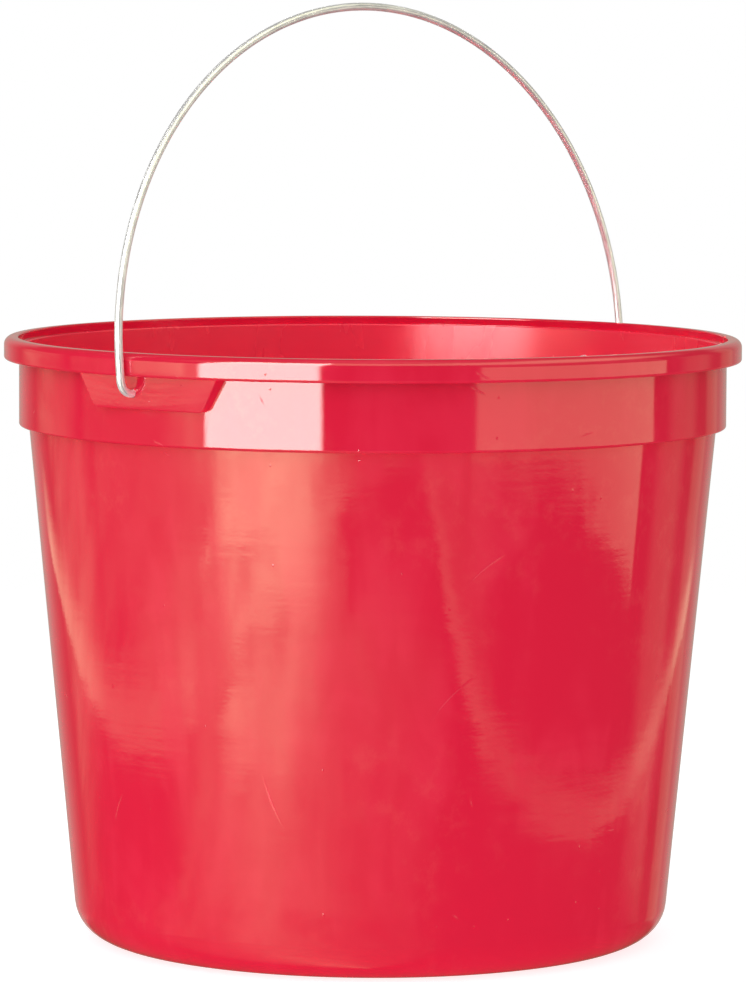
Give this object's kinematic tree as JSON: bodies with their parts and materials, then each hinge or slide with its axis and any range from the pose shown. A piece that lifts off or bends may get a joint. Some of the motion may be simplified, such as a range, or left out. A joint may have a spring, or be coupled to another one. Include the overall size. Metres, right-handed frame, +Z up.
{
  "type": "wash bucket",
  "caption": "Round tapered plastic pail with a straight band and lipped rim, flat ear pads and a thin wire bail that swings over the mouth.",
  "frame": {"origin": "centre of the base's foot ring, on the ground", "axes": "+Z up through the pail's mouth; the bail's pivot axis runs along X over the origin; the bail leans a little towards +Y at rest"},
  "size_m": [0.2321, 0.216, 0.2741],
  "materials": {
    "red_plastic": "glossy moulded polyethylene, faint cloudy flow marks and fine scuffs",
    "bright_wire": "bright zinc-plated drawn wire"
  },
  "bodies": {
    "pail": {"pail_body": "red_plastic"},
    "bail": {"wire_bail": "bright_wire"}
  },
  "joints": [
    {"name": "bail_pivot", "type": "hinge", "parent": "pail", "child": "bail", "pos_m": [0, 0, 0.1653], "axis": [1, 0, 0], "range_deg": [-77.4, 86.6]}
  ]
}
